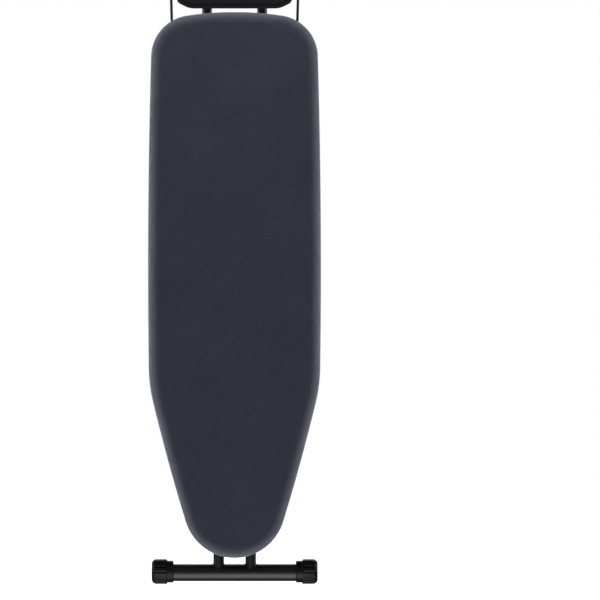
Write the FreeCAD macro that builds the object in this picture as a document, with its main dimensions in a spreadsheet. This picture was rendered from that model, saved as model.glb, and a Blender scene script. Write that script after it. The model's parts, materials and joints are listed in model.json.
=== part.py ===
import FreeCAD, Part

# Folding ironing board, folded flat and standing on its nose-end foot.
# +Z runs from the nose up to the iron rest, +X is to the right and the cover faces -Y.
# The origin is on the ground, under the middle of the whole object. Lengths are in millimetres.
#
# The twin inner legs hinge on the deck near the heel and carry the nose foot. The twin outer legs cross
# them at a pivot that is equally far from the hinge and from the slide crossbar, so the crossbar runs along
# a straight rack under the deck. "Depth" below is measured back from the front of the cover.

import math
import os
import re
from types import SimpleNamespace

import Sketcher
from FreeCAD import Placement, Rotation, Vector

DIMENSIONS = {
    # outline of the board: slopes are measured from the long axis, in degrees
    "board_length": 1200,
    "board_width": 380,
    "nose_level": 59,
    "nose_radius": 112,
    "nose_slope": 17,
    "shoulder_slope": 13.6,
    "shoulder_radius": 340,
    "flank_slope": 0.8,
    "flank_radius": 16000,
    "corner_radius": 92,
    "crown_radius": 700,
    # layers of the deck, from the front
    "cover_thickness": 1,
    "pad_thickness": 7,
    "panel_thickness": 1.2,
    "rim_diameter": 14,
    "rim_wall": 1,
    "rim_inset": 3,
    "hem_width": 34,
    "edge_rounding": 8,
    "back_rounding": 6,
    "rib_width": 20,
    "rib_wall": 1,
    # legs
    "leg_diameter": 23.6,
    "leg_wall": 1.2,
    "leg_depth": 61,
    "leg_end": 8,
    "inner_leg_spacing": 70.6,
    "outer_leg_spacing": 121.2,
    "brace_diameter": 12,
    "brace_low": 250,
    "brace_high": 930,
    "strip_brace_level": 900,
    "lug_thickness": 4,
    "lug_radius": 7,
    "lug_tail": 30,
    # hinge, cross pivot and slide
    "hinge_level": 1059,
    "hinge_depth": 43.5,
    "pivot_reach": 450,
    "fold_limit": 60,
    "axle_diameter": 10,
    "running_gap": 0.05,
    "axle_overhang": 1.5,
    "crossbar_overhang": 2.5,
    "hinge_cap_diameter": 12,
    "pivot_cap_diameter": 15,
    "crossbar_cap_diameter": 11.2,
    "hinge_spacer_diameter": 11.2,
    "washer_diameter": 20,
    # screws and rivets
    "screw_diameter": 4.9,
    "screw_hole": 5,
    "screw_head": 9,
    "screw_socket": 3,
    "rivet_diameter": 4,
    "rivet_head": 8,
    # feet and their levelling caps
    "foot_diameter": 38.2,
    "foot_wall": 1.2,
    "foot_level": 24.95,
    "foot_setback": 5.5,
    "nose_foot_length": 366,
    "heel_foot_length": 300,
    "cap_diameter": 54.5,
    "cap_length": 34,
    "cap_rounding": 10,
    "cap_end_wall": 4,
    "collar_diameter": 48.7,
    "collar_length": 14,
    "flute_count": 14,
    "flute_radius": 5,
    "flute_cut": 1.3,
    # height rack, slide carriage and release lever
    "rack_width": 38,
    "rack_sheet": 2,
    "rack_flange": 29.3,
    "rack_low": 130,
    "rack_high": 740,
    "window_width": 12,
    "window_length": 12,
    "tooth_rise": 21,
    "lowest_fold": 36,
    "carriage_half_width": 16.4,
    "lever_thickness": 8,
    # iron rest
    "rest_tube_diameter": 22,
    "rest_tube_wall": 1.2,
    "rest_tube_depth": 35.7,
    "rest_tube_low": 1085,
    "rest_tube_high": 1440,
    "tray_low": 1267,
    "tray_length": 230,
    "tray_width": 254,
    "tray_flat": 198,
    "tray_chamfer": 13.5,
    "tray_low_rounding": 45,
    "tray_side_rounding": 14,
    "tray_high_rounding": 30,
    "tray_sheet": 1.5,
    "tray_basin": 5,
    "tray_lip": 5.5,
    "wire_diameter": 6,
    "wire_low": 1232,
    "wire_high": 1515,
    "wire_low_width": 276,
    "wire_high_width": 291.6,
}

doc = FreeCAD.newDocument("IroningBoard")
sheet = doc.addObject("Spreadsheet::Sheet", "Dimensions")
for row, (word, number) in enumerate(DIMENSIONS.items(), start=1):
    sheet.set(f"A{row}", word)
    sheet.set(f"B{row}", str(number))
    sheet.setAlias(f"B{row}", word)
doc.recompute()
dim = SimpleNamespace(**{word: float(sheet.get(word)) for word in DIMENSIONS})

# Places worked out from the driving dimensions
LEG_RADIUS = dim.leg_diameter / 2
FOOT_DEPTH = dim.leg_depth + dim.foot_setback
HALF_DEPTH = (FOOT_DEPTH + dim.cap_diameter / 2) / 2
CAP_OFFSET = dim.cap_diameter / 2 - dim.foot_level
PANEL_FRONT = dim.cover_thickness + dim.pad_thickness
PANEL_BACK = PANEL_FRONT + dim.panel_thickness
RIM_BACK = PANEL_BACK + dim.rim_diameter
DECK_BACK = RIM_BACK + dim.cover_thickness
SLIDE_LEVEL = dim.hinge_level - 2 * dim.pivot_reach
PIVOT_LEVEL = dim.hinge_level - dim.pivot_reach
HEEL_FOOT_LEVEL = SLIDE_LEVEL + dim.hinge_level - dim.foot_level
TRAY_BACK = dim.rest_tube_depth - dim.rest_tube_diameter / 2
RIB_LEVELS = {"nose": 150, "front": 335, "middle": 530, "rear": 725, "heel": 895, "hinge": dim.hinge_level}
SADDLE_LEVELS = {"lower": 1096, "upper": 1209}
EAR_SPANS = ((19.0, 22.0), (48.5, 51.5))
TRAY_SCREW_LEVELS = (1300, 1420)
STRIP_LEVELS = (1325, 1360, 1395, 1455)
AXLE_BORE = "axle_diameter + 2 * running_gap"
LEG_BORE = "leg_diameter - 2 * leg_wall"

UPRIGHT = Rotation()
ALONG_X = Rotation(Vector(0, 1, 0), 90)
ALONG_Y = Rotation(Vector(1, 0, 0), -90)
HALF_TURN = Rotation(Vector(0, 0, 1), 180)
SIDES = {"left": -1, "right": 1}

nodes = []


# --- helpers -----------------------------------------------------------------------------------------------

def formula(text):
    """The text with each sheet alias in it turned into a reference to the sheet."""
    def refer(word):
        return f"Dimensions.{word[0]}" if word[0] in DIMENSIONS else word[0]

    return re.sub(r"[a-z_]+", refer, text)


def at(x, depth, level, turn=UPRIGHT):
    return Placement(Vector(x, depth - HALF_DEPTH, level), turn)


def keep(label, piece):
    """Name a finished sub-part."""
    piece.Label = label
    nodes.append(piece)
    return piece


def cylinder(diameter, length, place):
    rod = doc.addObject("Part::Cylinder", "Rod")
    rod.setExpression("Radius", formula(f"({diameter}) / 2"))
    rod.setExpression("Height", formula(length))
    rod.Placement = place
    return rod


def cross_rod(diameter, length, depth, level, x=0.0):
    """A rod along X, centred at x; its length is a number."""
    return cylinder(diameter, f"{length:.4f}", at(x - length / 2, depth, level, ALONG_X))


def block(x, depth, level):
    """A box between two limits on each axis: (low, high) pairs."""
    piece = doc.addObject("Part::Box", "Block")
    piece.Length = x[1] - x[0]
    piece.Width = depth[1] - depth[0]
    piece.Height = level[1] - level[0]
    piece.Placement = at(x[0], depth[0], level[0])
    return piece


def join(*pieces):
    if len(pieces) == 1:
        return pieces[0]
    fused = doc.addObject("Part::MultiFuse", "Joined")
    fused.Shapes = list(pieces)
    return fused


def cut(base, *tools):
    piece = doc.addObject("Part::Cut", "Cut")
    piece.Base = base
    piece.Tool = join(*tools)
    return piece


def group(*pieces):
    """Several separate solids in one sub-part."""
    together = doc.addObject("Part::Compound", "Group")
    together.Links = list(pieces)
    return together


def feature(shape):
    piece = doc.addObject("Part::Feature", "Shape")
    piece.Shape = shape
    return piece


def rounded_path(points, radii, closed=True):
    """Lines through the points with each corner rounded to its radius, as curves in order."""
    count = len(points)
    corners = range(count) if closed else range(1, count - 1)
    entry = {i: points[i] for i in range(count)}
    leave = dict(entry)
    middle = {}
    for i in corners:
        if not radii[i]:
            continue
        back = (points[i - 1] - points[i]).normalize()
        ahead = (points[(i + 1) % count] - points[i]).normalize()
        half = back.getAngle(ahead) / 2
        entry[i] = points[i] + back * (radii[i] / math.tan(half))
        leave[i] = points[i] + ahead * (radii[i] / math.tan(half))
        inward = (back + ahead).normalize()
        middle[i] = points[i] + inward * (radii[i] / math.sin(half) - radii[i])
    curves = []
    for i in range(count if closed else count - 1):
        following = (i + 1) % count
        if i in middle:
            curves.append(Part.Arc(entry[i], middle[i], leave[i]))
        curves.append(Part.LineSegment(leave[i], entry[following]))
    return curves


def inset_polygon(points, inset):
    """A convex anticlockwise polygon moved inwards by the inset."""
    moved = []
    for i, point in enumerate(points):
        before = (point - points[i - 1]).normalize()
        after = (points[(i + 1) % len(points)] - point).normalize()
        left = Vector(-before.y, before.x)
        bisector = (left + Vector(-after.y, after.x)).normalize()
        moved.append(point + bisector * (inset / bisector.dot(left)))
    return moved


def new_body(label, place):
    body = doc.addObject("PartDesign::Body", "Body")
    body.Placement = place
    return keep(label, body)


def new_sketch(body, role, curves=(), offset=0.0):
    """A sketch on one of the body's origin planes, moved along that plane's normal by the offset."""
    sketch = body.newObject("Sketcher::SketchObject", "Sketch")
    plane = next(item for item in body.Origin.OriginFeatures if item.Role == role)
    sketch.AttachmentSupport = (plane, [""])
    sketch.MapMode = "FlatFace"
    sketch.AttachmentOffset = Placement(Vector(0, 0, offset), UPRIGHT)
    for curve in curves:
        sketch.addGeometry(curve, False)
    return sketch


def add_circle(sketch, x, y, diameter):
    """A circle whose diameter follows the sheet."""
    index = sketch.addGeometry(Part.Circle(Vector(x, y, 0), Vector(0, 0, 1), 1), False)
    sketch.addConstraint(Sketcher.Constraint("DistanceX", -1, 1, index, 3, x))
    sketch.addConstraint(Sketcher.Constraint("DistanceY", -1, 1, index, 3, y))
    rule = sketch.addConstraint(Sketcher.Constraint("Diameter", index, 2))
    sketch.setExpression(f"Constraints[{rule}]", formula(diameter))


def pad(body, sketch, length, middle=False):
    extrusion = body.newObject("PartDesign::Pad", "Pad")
    extrusion.Profile = sketch
    extrusion.setExpression("Length", formula(length))
    extrusion.Midplane = middle
    return extrusion


def pocket(body, sketch, length, middle=False):
    """A cut against the sketch's normal, or both ways from it."""
    hole = body.newObject("PartDesign::Pocket", "Pocket")
    hole.Profile = sketch
    hole.setExpression("Length", formula(length))
    hole.Midplane = middle
    return hole


def points_2d(*pairs):
    return [Vector(x, y, 0) for x, y in pairs]


def rounded_rectangle(left, right, low, high, radius):
    corners = points_2d((left, low), (right, low), (right, high), (left, high))
    return rounded_path(corners, [radius] * 4)


# --- outline of the board ----------------------------------------------------------------------------------

def solve_outline():
    """Arcs of the right-hand edge from the nose to the heel: (centre, radius, first and last heading).

    A heading is the direction of travel, 0 along +X at the nose and 180 degrees at the heel. The long taper's
    radius makes the board its full width, and the flank's last slope makes it its full length.
    """
    nose, shoulder, flank = (
        math.radians(90 - slope) for slope in (dim.nose_slope, dim.shoulder_slope, dim.flank_slope)
    )
    spare = (
        dim.board_width / 2
        - dim.nose_radius * math.sin(nose)
        - dim.shoulder_radius * (math.sin(flank) - math.sin(shoulder))
        - dim.flank_radius * (1 - math.sin(flank))
    )
    taper_radius = spare / (math.sin(shoulder) - math.sin(nose))
    radii = (dim.nose_radius, taper_radius, dim.shoulder_radius, dim.flank_radius, dim.corner_radius,
             dim.crown_radius)

    def chain(heel_slope):
        heel = math.pi / 2 + heel_slope
        half_width = dim.board_width / 2 - dim.flank_radius * (1 - math.sin(heel))
        crown = math.pi - math.asin(
            (half_width - dim.corner_radius * math.sin(heel)) / (dim.crown_radius - dim.corner_radius)
        )
        headings = (0, nose, shoulder, flank, heel, crown, math.pi)
        arcs = []
        x, level = 0.0, 0.0
        for radius, first, last in zip(radii, headings, headings[1:]):
            centre = (x - radius * math.sin(first), level + radius * math.cos(first))
            arcs.append((centre, radius, first, last))
            x = centre[0] + radius * math.sin(last)
            level = centre[1] - radius * math.cos(last)
        return arcs, level

    low, high = 0.0, math.radians(4)
    for _ in range(50):
        slope = (low + high) / 2
        arcs, length = chain(slope)
        if length < dim.board_length:
            low = slope
        else:
            high = slope
    return arcs


OUTLINE = solve_outline()


def outline_wire(inset, depth):
    """The board's closed outline, moved inwards by the inset, at a depth."""
    def place(x, level):
        return Vector(x, depth - HALF_DEPTH, dim.nose_level + level)

    right, left = [], []
    for (x, level), radius, first, last in OUTLINE:
        ends = []
        for heading in (first, (first + last) / 2, last):
            reach = radius - inset
            ends.append((x + reach * math.sin(heading), level - reach * math.cos(heading)))
        right.append(Part.Arc(*(place(*end) for end in ends)).toShape())
        left.append(Part.Arc(*(place(-end[0], end[1]) for end in reversed(ends))).toShape())
    return Part.Wire(right + left[::-1])


def half_width(level, inset):
    """Half the width inside the inset outline at a level above the ground."""
    above_nose = level - dim.nose_level
    for (x, centre), radius, first, last in OUTLINE:
        reach = radius - inset
        if above_nose <= centre - reach * math.cos(last):
            return x + math.sqrt(reach**2 - (above_nose - centre) ** 2)
    return 0.0


def board_slab(inset, front, back, front_rounding=0.0, back_rounding=0.0):
    """A slab of the board's outline between two depths, its front and back edges rounded."""
    slab = Part.Face(outline_wire(inset, front)).extrude(Vector(0, back - front, 0))
    for depth, rounding in ((front, front_rounding), (back, back_rounding)):
        if rounding:
            y = depth - HALF_DEPTH
            edges = [e for e in slab.Edges if abs(e.BoundBox.YMin - y) + abs(e.BoundBox.YMax - y) < 0.01]
            slab = slab.makeFillet(rounding, edges)
    return slab


# --- deck --------------------------------------------------------------------------------------------------

def make_cover():
    """Fitted cover: the face, the rolled edge and a hem turned in behind the rim."""
    skin = dim.cover_thickness
    outer = board_slab(0, 0, DECK_BACK, dim.edge_rounding, dim.back_rounding)
    inner = board_slab(skin, skin, DECK_BACK - skin, dim.edge_rounding - skin, dim.back_rounding - skin)
    opening = board_slab(dim.hem_width, DECK_BACK - 2 * skin, DECK_BACK + skin)
    keep("board_cover", feature(outer.cut(inner).cut(opening)))


def make_pad():
    side_gap = 0.2
    rounding = dim.edge_rounding - dim.cover_thickness - side_gap
    slab = board_slab(dim.cover_thickness + side_gap, dim.cover_thickness, PANEL_FRONT, rounding)
    keep("board_pad", feature(slab))


def diamond(x, level, half_x, half_level):
    """A closed diamond in the panel's front plane."""
    corners = ((x - half_x, level), (x, level - half_level), (x + half_x, level), (x, level + half_level))
    points = [Vector(px, PANEL_FRONT - HALF_DEPTH, pz) for px, pz in corners]
    return Part.makePolygon(points + points[:1])


def make_panel():
    """Steel panel pierced with rows of diamonds, solid along its edge and across the hinge bracket."""
    pitch_x, pitch_level = 27.0, 44.0
    strand = 5.0
    edge_margin = 24.0
    solid_edge = dim.rim_inset + edge_margin
    holes = []
    rows = int((dim.board_length - 2 * solid_edge) / (pitch_level / 2))
    for row in range(1, rows):
        level = dim.nose_level + solid_edge + row * pitch_level / 2
        ends = (level - pitch_level / 2, level + pitch_level / 2)
        room = min(half_width(end, solid_edge) for end in ends)
        first = 0.5 if row % 2 else 0.0
        count = int((room - pitch_x / 2) / pitch_x - first + 1)
        columns = [first + i for i in range(max(count, 0))]
        for x in sorted({side * column * pitch_x for column in columns for side in (-1, 1)}):
            holes.append(diamond(x, level, (pitch_x - strand) / 2, (pitch_level - 2 * strand) / 2))
    face = Part.makeFace([outline_wire(dim.rim_inset, PANEL_FRONT)] + holes, "Part::FaceMakerBullseye")
    keep("deck_panel", feature(face.extrude(Vector(0, dim.panel_thickness, 0))))


def make_rim():
    """Steel tube bent to the board's outline and welded under the panel."""
    radius = dim.rim_diameter / 2
    inset = dim.rim_inset + radius
    depth = PANEL_BACK + radius
    path = outline_wire(inset, depth)
    start = Vector(0, depth - HALF_DEPTH, dim.nose_level + inset)
    solids = []
    for size in (radius, radius - dim.rim_wall):
        circle = Part.Wire(Part.Circle(start, Vector(1, 0, 0), size).toShape())
        solids.append(path.makePipeShell([circle], True, False))
    keep("rim_frame", feature(solids[0].cut(solids[1])))


def make_ribs():
    """Rectangular tubes that carry the panel from rim to rim."""
    half = dim.rib_width / 2
    wall = dim.rib_wall
    for name, level in RIB_LEVELS.items():
        inset = dim.rim_inset + dim.rim_diameter
        reach = min(half_width(level - half, inset), half_width(level + half, inset))
        inside = half - wall
        channel = (PANEL_BACK + wall, RIM_BACK - wall)
        outer = block((-reach, reach), (PANEL_BACK, RIM_BACK), (level - half, level + half))
        hollow = block((-reach, reach), channel, (level - inside, level + inside))
        keep(f"rib_{name}", cut(outer, hollow))


def make_heel_saddles():
    """Steel plates across the deck, each with two saddles for the iron rest's tubes."""
    thickness = 3.0
    ear = (LEG_RADIUS + 3, dim.rest_tube_diameter / 2 + 5)
    ear_back = dim.rest_tube_depth + 4
    middle = dim.outer_leg_spacing / 2
    for name, level in SADDLE_LEVELS.items():
        inset = dim.rim_inset + dim.rim_diameter
        reach = half_width(level + thickness, inset)
        body = new_body(f"heel_saddle_{name}", at(0, 0, level))
        low, high = middle - ear[0], middle + ear[1]
        points = points_2d(
            (-reach, PANEL_BACK), (reach, PANEL_BACK), (reach, RIM_BACK),
            (high, RIM_BACK), (high, ear_back), (low, ear_back), (low, RIM_BACK),
            (-low, RIM_BACK), (-low, ear_back), (-high, ear_back), (-high, RIM_BACK),
            (-reach, RIM_BACK),
        )
        pad(body, new_sketch(body, "XY_Plane", rounded_path(points, [0] * len(points))), f"{thickness}")
        notches = new_sketch(body, "XY_Plane", offset=thickness)
        for side in SIDES.values():
            add_circle(notches, side * middle, dim.rest_tube_depth, "rest_tube_diameter")
        body.Tip = pocket(body, notches, f"{thickness}")


# --- height rack and hinge bracket -------------------------------------------------------------------------

def slide_level(fold):
    """Height of the slide crossbar when the legs are folded out by this many degrees."""
    setback = dim.leg_depth - dim.hinge_depth
    arm = math.hypot(dim.pivot_reach, setback)
    first = math.atan2(setback, dim.pivot_reach)
    return dim.hinge_level - 2 * arm * math.cos(first + math.radians(fold))


def make_rack():
    """Channel under the deck: long slots guide the crossbar and windows in its web take the lever's tooth."""
    settings = 7
    step = (dim.fold_limit - dim.lowest_fold) / (settings - 1)
    folds = [0.0] + [dim.lowest_fold + step * i for i in range(settings)]
    half = dim.rack_width / 2
    wall = dim.rack_sheet
    body = new_body("height_rack", at(0, RIM_BACK, dim.rack_low))
    profile = points_2d(
        (-half, 0), (half, 0), (half, dim.rack_flange), (half - wall, dim.rack_flange), (half - wall, wall),
        (wall - half, wall), (wall - half, dim.rack_flange), (-half, dim.rack_flange),
    )
    pad(body, new_sketch(body, "XY_Plane", rounded_path(profile, [3, 3, 0, 0, 1, 1, 0, 0])),
        "rack_high - rack_low")
    slot_gap = 0.3
    reach = dim.axle_diameter / 2 + slot_gap
    middle = dim.hinge_depth - RIM_BACK
    low = slide_level(0) - dim.rack_low - reach
    high = slide_level(dim.fold_limit) - dim.rack_low + reach
    slot = rounded_rectangle(middle - reach, middle + reach, low, high, reach - 0.01)
    pocket(body, new_sketch(body, "YZ_Plane", slot), "rack_width + 4", middle=True)
    windows = []
    for fold in folds:
        centre = slide_level(fold) + dim.tooth_rise - dim.rack_low
        side, end = dim.window_width / 2, dim.window_length / 2
        windows += rounded_rectangle(-side, side, centre - end, centre + end, 2)
    pocket(body, new_sketch(body, "XZ_Plane", windows), "rack_sheet * 3", middle=True)
    screws = new_sketch(body, "XZ_Plane")
    for level in rack_screw_levels():
        add_circle(screws, 0, level - dim.rack_low, "screw_hole")
    body.Tip = pocket(body, screws, "rack_sheet * 3", middle=True)


def rack_screw_levels():
    return [RIB_LEVELS[name] for name in ("nose", "front", "middle", "rear")]


def pan_screw(x, back, level, head_height, shank_length):
    """Pan-head screw whose head bears on a surface facing +Y at the depth "back"."""
    head = cylinder("screw_head", f"{head_height}", at(x, back, level, ALONG_Y))
    shank = cylinder("screw_diameter", f"{shank_length}", at(x, back - shank_length, level, ALONG_Y))
    socket = cylinder("screw_socket", f"{head_height}", at(x, back + head_height / 2, level, ALONG_Y))
    return cut(join(head, shank), socket)


def make_rack_screws():
    web_back = RIM_BACK + dim.rack_sheet
    head_height = 2.2
    screws = [pan_screw(0, web_back, level, head_height, dim.rack_sheet) for level in rack_screw_levels()]
    keep("rack_screws", group(*screws))


def make_hinge_bracket():
    """Base plate with two pairs of ears that hold the hinge axle."""
    base_half, base_rise = 51.5, 18.0
    sheet_back = RIM_BACK + dim.rack_sheet
    ear_radius = 9.0
    level = dim.hinge_level
    pieces = [block((-base_half, base_half), (RIM_BACK, sheet_back), (level - base_rise, level + base_rise))]
    for low, high in EAR_SPANS:
        for x in ((low, high), (-high, -low)):
            pieces.append(block(x, (RIM_BACK, dim.hinge_depth), (level - ear_radius, level + ear_radius)))
            middle = (x[0] + x[1]) / 2
            pieces.append(cross_rod(f"{2 * ear_radius}", high - low, dim.hinge_depth, level, middle))
    bore = cross_rod(AXLE_BORE, 2 * base_half + 2, dim.hinge_depth, level)
    rivet_holes = [
        cylinder("rivet_diameter", "3 * rack_sheet", at(x, RIM_BACK - 1, level, ALONG_Y))
        for x, level in bracket_rivets()
    ]
    keep("hinge_bracket", cut(join(*pieces), bore, *rivet_holes))


def bracket_rivets():
    """Places (x, level) of the four rivets through the bracket's base."""
    return [(x, dim.hinge_level + rise) for x in (-8.0, 8.0) for rise in (-6.0, 6.0)]


def make_bracket_rivets():
    rivets = []
    back = RIM_BACK + dim.rack_sheet
    head_height = 1.6
    for x, level in bracket_rivets():
        head = cylinder("rivet_head", f"{head_height}", at(x, back, level, ALONG_Y))
        shank = cylinder("rivet_diameter", "rack_sheet", at(x, RIM_BACK, level, ALONG_Y))
        rivets.append(join(head, shank))
    keep("hinge_bracket_rivets", group(*rivets))


def make_hinge_axle():
    ear_face = EAR_SPANS[1][1]
    reach = ear_face + dim.axle_overhang
    keep("hinge_axle", cross_rod("axle_diameter", 2 * reach, dim.hinge_depth, dim.hinge_level))
    push_caps("hinge_axle_caps", "hinge_cap_diameter", ear_face, reach, dim.hinge_depth, dim.hinge_level)


def push_caps(label, diameter, face, axle_end, depth, level):
    """Steel caps pushed over an axle's two ends, just clear of the faces they stand beside."""
    wall, gap = 1.0, 0.1
    inner = face + gap
    length = axle_end + wall - inner
    recess_length = axle_end - inner
    caps = []
    for side in SIDES.values():
        shell = cross_rod(diameter, length, depth, level, side * (inner + length / 2))
        recess = cross_rod("axle_diameter", recess_length, depth, level, side * (inner + recess_length / 2))
        caps.append(cut(shell, recess))
    keep(label, group(*caps))


# --- legs --------------------------------------------------------------------------------------------------

def leg_tube(label, x, low, high, foot_level, slot_levels):
    """Round tube, coped over its foot tube, drilled for the cross pivot and slotted for its lug."""
    outer = cylinder("leg_diameter", f"{high - low:.4f}", at(x, dim.leg_depth, low))
    bore = cylinder(LEG_BORE, f"{high - low:.4f}", at(x, dim.leg_depth, low))
    foot = cross_rod("foot_diameter", 2 * dim.leg_diameter, FOOT_DEPTH, foot_level, x)
    pivot = cross_rod(AXLE_BORE, dim.leg_diameter + 2, dim.leg_depth, PIVOT_LEVEL, x)
    half = dim.lug_thickness / 2
    front = dim.leg_depth - LEG_RADIUS
    slot = block((x - half, x + half), (front - 1, front + 2 * dim.leg_wall), slot_levels)
    keep(label, cut(outer, bore, foot, pivot, slot))


def lug(x, level, direction):
    """Plate let into a tube's end, reaching forward to the axle; direction is the way the tube runs."""
    body = doc.addObject("PartDesign::Body", "Lug")
    body.Placement = at(x, dim.hinge_depth, level)
    radius = dim.lug_radius
    back = dim.leg_depth - dim.hinge_depth
    front = back - LEG_RADIUS + dim.leg_wall
    tail, head = direction * dim.lug_tail, -direction * dim.axle_diameter / 2
    ends = [Vector(back, head), Vector(back, tail), Vector(front, tail), Vector(0, direction * radius)]
    curves = [Part.LineSegment(a, b) for a, b in zip(ends, ends[1:])]
    curves.append(Part.Arc(ends[-1], Vector(-radius, 0), Vector(0, -direction * radius)))
    curves.append(Part.LineSegment(Vector(0, -direction * radius), ends[0]))
    pad(body, new_sketch(body, "YZ_Plane", curves), "lug_thickness", middle=True)
    bore = new_sketch(body, "YZ_Plane")
    add_circle(bore, 0, 0, AXLE_BORE)
    body.Tip = pocket(body, bore, "lug_thickness + 2", middle=True)
    return body


def leg_plug(x, end, direction):
    """Plastic plug in a tube's open end; direction points out of the tube."""
    rim, spigot = 2.0, 1.5
    low = end if direction > 0 else end - rim
    disc = cylinder("leg_diameter", f"{rim}", at(x, dim.leg_depth, low))
    low = end - spigot if direction > 0 else end
    stem = cylinder(LEG_BORE, f"{spigot}", at(x, dim.leg_depth, low))
    return join(disc, stem)


def leg_brace(label, level):
    """Cross tube welded between the inner legs."""
    middle = dim.inner_leg_spacing / 2
    bar = cross_rod("brace_diameter", 2 * middle, dim.leg_depth, level)
    low = level - 2 * dim.brace_diameter
    legs = [
        cylinder("leg_diameter", "4 * brace_diameter", at(side * middle, dim.leg_depth, low))
        for side in SIDES.values()
    ]
    keep(label, cut(bar, *legs))


def make_inner_legs():
    middle = dim.inner_leg_spacing / 2
    level = dim.hinge_level
    for name, side in SIDES.items():
        leg_tube(f"inner_leg_tube_{name}", side * middle, dim.foot_level, level + dim.leg_end, dim.foot_level,
                 (level - dim.lug_tail, level + dim.leg_end + 1))
    keep("inner_hinge_lugs", group(*(lug(side * middle, level, -1) for side in SIDES.values())))
    plugs = [leg_plug(side * middle, level + dim.leg_end, 1) for side in SIDES.values()]
    keep("inner_leg_plugs", group(*plugs))
    leg_brace("inner_brace_lower", dim.brace_low)
    leg_brace("inner_brace_upper", dim.brace_high)
    make_hinge_spacers()
    make_pivot_spacer()


def sleeve(diameter, bore, low, high, depth, level):
    """Round spacer between two places along X."""
    outer = cross_rod(diameter, high - low, depth, level, (low + high) / 2)
    inner = cross_rod(bore, high - low + 2, depth, level, (low + high) / 2)
    return cut(outer, inner)


def make_hinge_spacers():
    """Spacers on the hinge axle, between each lug and the ears on its two sides."""
    gap = 0.4
    middle = dim.inner_leg_spacing / 2
    half = dim.lug_thickness / 2
    spans = [(EAR_SPANS[0][1] + gap, middle - half), (middle + half, EAR_SPANS[1][0] - gap)]
    spans += [(-high, -low) for low, high in spans]
    spacers = [
        sleeve("hinge_spacer_diameter", AXLE_BORE, low, high, dim.hinge_depth, dim.hinge_level)
        for low, high in spans
    ]
    keep("hinge_spacers", group(*spacers))


def make_pivot_spacer():
    reach = dim.inner_leg_spacing / 2 - LEG_RADIUS
    spacer = sleeve("pivot_cap_diameter", AXLE_BORE, -reach, reach, dim.leg_depth, PIVOT_LEVEL)
    keep("pivot_spacer_tube", spacer)


def make_outer_legs():
    middle = dim.outer_leg_spacing / 2
    low = SLIDE_LEVEL - dim.leg_end
    for name, side in SIDES.items():
        leg_tube(f"outer_leg_tube_{name}", side * middle, low, HEEL_FOOT_LEVEL, HEEL_FOOT_LEVEL,
                 (low - 1, SLIDE_LEVEL + dim.lug_tail))
    keep("outer_slide_lugs", group(*(lug(side * middle, SLIDE_LEVEL, 1) for side in SIDES.values())))
    keep("outer_leg_plugs", group(*(leg_plug(side * middle, low, -1) for side in SIDES.values())))
    make_outer_brace()
    make_cross_pivot()
    make_crossbar()


def make_outer_brace():
    """Pressed strip behind the outer legs, with its ends saddled over the tubes."""
    level, rise = dim.strip_brace_level, 14.0
    saddle_half, saddle_grip = 8.0, 5.0
    middle = dim.outer_leg_spacing / 2
    tube_back = dim.leg_depth + LEG_RADIUS
    strip = (tube_back + 1.5, tube_back + 4)
    span = (level - rise, level + rise)
    pieces = [block((-middle - saddle_half, middle + saddle_half), strip, span)]
    tubes = []
    for side in SIDES.values():
        x = side * middle
        pieces.append(block((x - saddle_half, x + saddle_half), (tube_back - saddle_grip, strip[1]), span))
        tubes.append(cylinder("leg_diameter", f"{4 * rise}", at(x, dim.leg_depth, level - 2 * rise)))
    keep("outer_brace_plate", cut(join(*pieces), *tubes))


def make_cross_pivot():
    """Axle through all four leg tubes, with nylon washers between the pairs."""
    outer_face = dim.outer_leg_spacing / 2 + LEG_RADIUS
    reach = outer_face + dim.axle_overhang
    keep("cross_pivot_axle", cross_rod("axle_diameter", 2 * reach, dim.leg_depth, PIVOT_LEVEL))
    gap = 0.1
    low = dim.inner_leg_spacing / 2 + LEG_RADIUS + gap
    high = dim.outer_leg_spacing / 2 - LEG_RADIUS - gap
    washers = [
        sleeve("washer_diameter", AXLE_BORE, *span, dim.leg_depth, PIVOT_LEVEL)
        for span in ((low, high), (-high, -low))
    ]
    keep("pivot_washers", group(*washers))
    push_caps("pivot_axle_caps", "pivot_cap_diameter", outer_face, reach, dim.leg_depth, PIVOT_LEVEL)


def make_crossbar():
    """Bar between the outer legs' lugs, which slides in the rack."""
    lug_face = dim.outer_leg_spacing / 2 + dim.lug_thickness / 2
    reach = lug_face + dim.crossbar_overhang
    keep("slide_crossbar", cross_rod("axle_diameter", 2 * reach, dim.hinge_depth, SLIDE_LEVEL))
    push_caps("crossbar_caps", "crossbar_cap_diameter", lug_face, reach, dim.hinge_depth, SLIDE_LEVEL)


# --- feet --------------------------------------------------------------------------------------------------

def make_foot(name, length, level, cap_rise):
    """Foot tube, its end plugs and two levelling caps whose outside is off the tube's axis by cap_rise."""
    end_gap = 0.3
    half_tube = length / 2 - dim.cap_end_wall - end_gap
    bore = "foot_diameter - 2 * foot_wall"
    keep(f"{name}_foot_tube", sleeve("foot_diameter", bore, -half_tube, half_tube, FOOT_DEPTH, level))
    plug_length, plug_setback = 18.0, 1.0
    plug_middle = half_tube - plug_setback - plug_length / 2
    plugs = [cross_rod(bore, plug_length, FOOT_DEPTH, level, side * plug_middle) for side in SIDES.values()]
    keep(f"{name}_foot_inserts", group(*plugs))
    for end, side in SIDES.items():
        levelling_cap(f"{name}_foot_cap_{end}", side, length / 2, level, cap_rise)


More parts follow.
